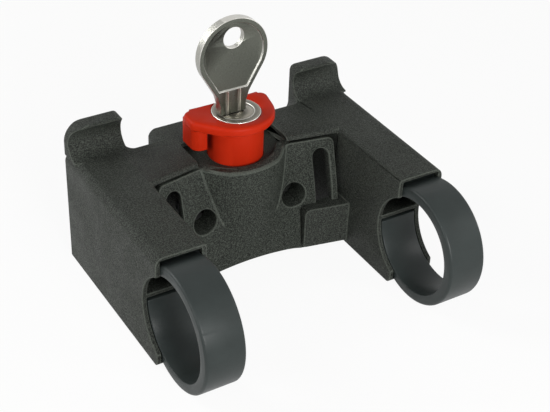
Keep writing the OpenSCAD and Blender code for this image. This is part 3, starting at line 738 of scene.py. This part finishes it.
@dataclass
class SweptFrame(SoftenedNode):
    """The main frame, whose beam lip and lugs follow the swept plate.

    Attributes:
        lip_mm: distances from the bar's axis between which the lip's front lies.
        lip_low_mm: lowest level of the lip.
        lug_y_mm: distance of the lugs' front from the bar's axis.
        lug_x_mm: inner side of the lugs.
        seam_mm: sides between which the beam's end runs into the arm's rounded edge.
        seam_y_mm: place of the cut across the arms, a little nearer the bar than the beam's front.
        top_mm: height of the arms' top.
    """

    lip_mm: tuple[float, float] = (42.5, 44.1)
    lip_low_mm: float = 18.9
    lug_y_mm: float = 34.7
    lug_x_mm: float = 18.2
    seam_mm: tuple[float, float] = (33.9, 34.6)
    seam_y_mm: float = SEAM_CUT_Y_MM
    top_mm: float = 20.6
    cuts: tuple[tuple[str, float], ...] = (("y", SEAM_CUT_Y_MM), ("x", 0.0))

    def on_seam(self, x: float, y: float, z: float) -> bool:
        """Tells whether a point in mm lies on the arm's rounded edge where the beam runs into it."""
        level = self.top_mm - 0.25 < z < self.top_mm + 0.01
        return level and self.seam_mm[0] < abs(x) < self.seam_mm[1] and y > self.seam_y_mm - 0.01

    def moved(self, x: float, y: float, z: float) -> tuple[float, float]:
        """Gives a point's new place towards the bag and its new height.

        Args:
            x: place along the bar, in mm.
            y: place towards the bag, in mm.
            z: height, in mm.

        Returns:
            The new y and z in mm.
        """
        side = abs(x)
        if self.on_seam(x, y, z):
            z = self.top_mm
        if self.lip_mm[0] < y < self.lip_mm[1] and z > self.lip_low_mm and side < self.seam_mm[0] + 0.1:
            return y + 1.7 - 0.19 * (side - 16.4), z
        if self.lug_x_mm - 0.1 < side < self.seam_mm[0] + 0.1 and z < 0.0:
            if abs(y - self.lug_y_mm) < 0.05:
                return y - 0.2 * (side - self.lug_x_mm), z
            if abs(plate_depth(x, y, z) + 0.2) < 0.1:
                return y + plate_shift(x, z), z
        return y, z

    def shape(self, mesh: bmesh.types.BMesh) -> None:
        """Sweeps the lip and the lugs, then rounds the edges.

        Args:
            mesh: the merged copy, which is changed.
        """
        for vert in mesh.verts:
            y, z = self.moved(*(vert.co / MM))
            vert.co.y, vert.co.z = y * MM, z * MM
        self.flatten(mesh)
        edges = [e for e in self.sharp(mesh) if not all(self.on_seam(*(v.co / MM)) for v in e.verts)]
        self.round_edges(mesh, edges, self.radius_mm, self.segments)


@dataclass
class PressButton(SoftenedNode):
    """The red button, whose flange has a full round along its upper edge and, short of the wing, along its
    lower edge.

    Attributes:
        flange_top_mm: height of the flange's top.
        flange_low_mm: height of the flange's underside.
        lock_mm: radius inside which the lock's seat lies.
        axis_y_mm: distance of the button's axis from the bar's axis.
        top_round_mm: radius of the flange's upper edge.
        low_round_mm: radius of the flange's lower edge.
        wing_mm: side of the wing, past which the lower edge isn't rounded.
    """

    flange_top_mm: float = 32.3
    flange_low_mm: float = 29.3
    lock_mm: float = 9.2
    axis_y_mm: float = BUTTON_Y_MM
    top_round_mm: float = 1.1
    low_round_mm: float = 0.7
    wing_mm: float = -9.0
    cuts: tuple[tuple[str, float], ...] = LOCK_CUTS

    def rim(self, mesh: bmesh.types.BMesh, level_mm: float) -> list:
        """Lists the sharp edges of the flange's outline at one level.

        Args:
            mesh: the shape.
            level_mm: the level's height.

        Returns:
            The edges.
        """
        near = 0.05 * MM
        axis = Vector((0.0, self.axis_y_mm * MM))
        return [
            e
            for e in self.sharp(mesh)
            if all(
                abs(v.co.z - level_mm * MM) < near and (v.co.xy - axis).length > self.lock_mm * MM
                for v in e.verts
            )
        ]

    def shape(self, mesh: bmesh.types.BMesh) -> None:
        """Rounds the flange fully and the other edges finely.

        Args:
            mesh: the merged copy, which is changed.
        """
        self.round_edges(mesh, self.rim(mesh, self.flange_top_mm), self.top_round_mm, 5)
        rim = self.rim(mesh, self.flange_low_mm)
        low = [e for e in rim if all(v.co.x > self.wing_mm * MM for v in e.verts)]
        self.round_edges(mesh, low, self.low_round_mm, 3)
        self.round_edges(mesh, self.sharp(mesh), self.radius_mm, self.segments)


@dataclass
class StampedKey(SoftenedNode):
    """The key, whose stamped rim and milled sides are painted brighter than its tumbled faces, partly as
    bright metal and partly as painted glints, with its left side in painted shade.

    Attributes:
        flat_share: share of a face's direction along Y, from which it counts as a flat of the key.
        left_share: share of its direction to the left, from which it counts as the left side.
        bright_metal_and_glint: mark of the rim and the milled sides, partly bright metal and partly painted
            glints.
        left_shaded_mark: lower mark of the left side, which is painted duller as shade.
    """

    flat_share: float = 0.85
    left_share: float = 0.3
    bright_metal_and_glint: float = 0.8
    left_shaded_mark: float = 0.45

    def shape(self, mesh: bmesh.types.BMesh) -> None:
        """Breaks the edges and marks them and the milled sides as bright, and the left side duller as painted
        shade.

        Args:
            mesh: the merged copy, which is changed.
        """
        self.round_edges(mesh, self.sharp(mesh), self.radius_mm, self.segments)
        mark = mesh.faces.layers.float.get(EDGE_MARK)
        mesh.normal_update()
        for face in mesh.faces:
            if abs(face.normal.y) < self.flat_share:
                # Left-facing sides get a duller mark as painted shade; the other sides a brighter one, bright
                # metal and painted glints.
                plain_left = face.normal.x < -self.left_share and face[mark] == 0.0
                face[mark] = self.left_shaded_mark if plain_left else self.bright_metal_and_glint


@dataclass
class KeptNode:
    """A CAD node whose own form shows, with a finish.

    Attributes:
        node: the CAD node.
        finish: its finish.
    """

    node: str
    finish: Finish

    def build(self, source: bpy.types.Object) -> bpy.types.Object:
        """Dresses the node.

        Args:
            source: the CAD node's object.

        Returns:
            The same object.
        """
        dress(source, self.finish)
        return source


def add_seen(tree: bpy.types.NodeTree, path: bpy.types.Node) -> bpy.types.NodeSocket:
    """Adds the test for a ray that comes from the camera, from gloss or through glass.

    Args:
        tree: the material's or the world's node tree.
        path: its Light Path node.

    Returns:
        The socket that is 1 on such a ray and 0 on any other.
    """
    first = add_node(
        tree,
        "ShaderNodeMath",
        {"operation": "MAXIMUM"},
        {"Value": path.outputs["Is Camera Ray"], "Value_001": path.outputs["Is Glossy Ray"]},
    ).outputs["Value"]
    return add_node(
        tree,
        "ShaderNodeMath",
        {"operation": "MAXIMUM"},
        {"Value": first, "Value_001": path.outputs["Is Transmission Ray"]},
    ).outputs["Value"]


@dataclass
class Studio:
    """Camera, pale floor and soft light, set for the photograph's view.

    Attributes:
        camera_mm: the camera's place.
        right: the picture's level direction.
        up: the picture's upright direction.
        back: direction from the object to the camera.
        lens_mm: focal length.
        floor_z_mm: height of the floor.
    """

    camera_mm: tuple[float, float, float] = (-168.371, -239.736, 230.713)
    right: tuple[float, float, float] = (0.85626, -0.51530, 0.03594)
    up: tuple[float, float, float] = (0.27047, 0.50653, 0.81870)
    back: tuple[float, float, float] = (-0.44008, -0.69130, 0.57310)
    lens_mm: float = 82.108
    floor_z_mm: float = -19.6
    lamps: list[tuple[str, tuple[float, float, float], float, float]] = field(
        default_factory=lambda: [
            ("front_lamp", (-60.0, -680.0, 300.0), 340.0, 4.9),
            ("rear_left_lamp", (-420.0, 420.0, 380.0), 340.0, 2.2),
            ("left_lamp", (-640.0, -140.0, 240.0), 340.0, 1.3),
            ("right_lamp", (560.0, -260.0, 300.0), 340.0, 0.9),
        ]
    )

    def add_camera(self) -> bpy.types.Object:
        """Adds the camera, makes it the scene's own and returns it."""
        data = bpy.data.cameras.new("camera")
        data.lens = self.lens_mm
        data.sensor_width = 36.0
        data.clip_start = 1 * MM
        camera = bpy.data.objects.new("camera", data)
        bpy.context.scene.collection.objects.link(camera)
        turn = Matrix((self.right, self.up, self.back)).transposed().to_4x4()
        camera.matrix_world = Matrix.Translation(Vector(self.camera_mm) * MM) @ turn
        bpy.context.scene.camera = camera
        return camera

    def add_floor(self) -> bpy.types.Object:
        """Adds the pale floor and returns it."""
        mesh = bmesh.new()
        bmesh.ops.create_grid(mesh, x_segments=1, y_segments=1, size=3.0)
        bmesh.ops.translate(mesh, verts=mesh.verts[:], vec=(0.0, 0.0, self.floor_z_mm * MM))
        floor = add_object("floor", mesh)
        material, tree = new_tree("white_paper")
        path = add_node(tree, "ShaderNodeLightPath", {}, {})
        seen = add_seen(tree, path)
        share = add_node(tree, "ShaderNodeMapRange", {"To Min": 0.0, "To Max": 0.92}, {"Value": seen})
        paper = add_node(tree, "ShaderNodeBsdfDiffuse", {"Color": srgb("f6f6f4")}, {})
        glow = add_node(tree, "ShaderNodeEmission", {"Color": (1.0, 1.0, 1.0, 1.0), "Strength": 1.0}, {})
        mixed = add_node(
            tree,
            "ShaderNodeMixShader",
            {},
            {
                "Fac": share.outputs["Result"],
                "Shader": paper.outputs["BSDF"],
                "Shader_001": glow.outputs["Emission"],
            },
        )
        add_node(tree, "ShaderNodeOutputMaterial", {}, {"Surface": mixed.outputs["Shader"]})
        floor.data.materials.append(material)
        return floor

    def add_world(self) -> None:
        """Adds the even studio light, white to the camera, to gloss and through glass."""
        world = bpy.data.worlds.new("studio")
        world.use_nodes = True
        bpy.context.scene.world = world
        tree = world.node_tree
        tree.nodes.clear()
        path = add_node(tree, "ShaderNodeLightPath", {}, {})
        seen = add_seen(tree, path)
        strength = add_node(tree, "ShaderNodeMapRange", {"To Min": 0.04, "To Max": 1.0}, {"Value": seen})
        light = add_node(
            tree,
            "ShaderNodeBackground",
            {"Color": (1.0, 1.0, 1.0, 1.0)},
            {"Strength": strength.outputs["Result"]},
        )
        add_node(tree, "ShaderNodeOutputWorld", {}, {"Surface": light.outputs["Background"]})

    def add_lamps(self) -> None:
        """Adds the soft boxes, each turned to the object."""
        aim = Vector((0.0, 25.0, 5.0)) * MM
        for name, place, width, power in self.lamps:
            data = bpy.data.lights.new(name, "AREA")
            data.shape = "DISK"
            data.size = width * MM
            data.energy = power
            lamp = bpy.data.objects.new(name, data)
            bpy.context.scene.collection.objects.link(lamp)
            spot = Vector(place) * MM
            turn = (aim - spot).to_track_quat("-Z", "Y").to_matrix().to_4x4()
            lamp.matrix_world = Matrix.Translation(spot) @ turn

    def build(self) -> None:
        """Builds the whole studio."""
        bpy.context.scene.view_settings.view_transform = "Standard"
        self.add_camera()
        self.add_floor()
        self.add_world()
        self.add_lamps()


def main() -> None:
    """Builds the studio and every piece, and reports each one."""
    logging.basicConfig(level=logging.INFO, format="%(name)s: %(message)s")
    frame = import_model()
    nodes = frame["nodes"]
    Studio().build()
    pieces = [
        SweptFrame("main_frame", "frame", Finish.FRAME, 0.3),
        SweptHousing("lock_housing", "frame", Finish.HOUSING, 0.4),
        PressButton("release_button", "button", Finish.BUTTON, 0.25, 2),
        StampedKey("key", "key", Finish.KEY, 0.15, 1, 28.0, (("x", -1.9),)),
        SoftenedNode("clamp_strap_left", "band_left", Finish.BAND, 0.3),
        SoftenedNode("clamp_strap_right", "band_right", Finish.BAND, 0.3),
        SoftenedNode("lock_cylinder", "button", Finish.LOCK, 0.2, 2, 28.0, LOCK_CUTS),
        SoftenedNode("lock_plug", "plug", Finish.LOCK, 0.06, 1, 28.0, LOCK_CUTS),
        KeptNode("latch_guide", Finish.INNER),
        KeptNode("latch", Finish.INNER),
        KeptNode("lock_wafers", Finish.BRASS),
        KeptNode("lock_cam", Finish.LOCK),
        KeptNode("cam_screw", Finish.SCREW),
        KeptNode("button_spring", Finish.SPRING),
        KeptNode("housing_screws", Finish.SCREW),
        KeptNode("guide_screws", Finish.SCREW),
    ]
    for side in ("left", "right"):
        pieces += [KeptNode(f"clamp_{part}_{side}", Finish.SCREW) for part in ("nut", "washer", "bolt")]
    for piece in pieces:
        piece.build(nodes[piece.node])
        LOG.info("built %s", piece.node)


if __name__ == "__main__":
    main()
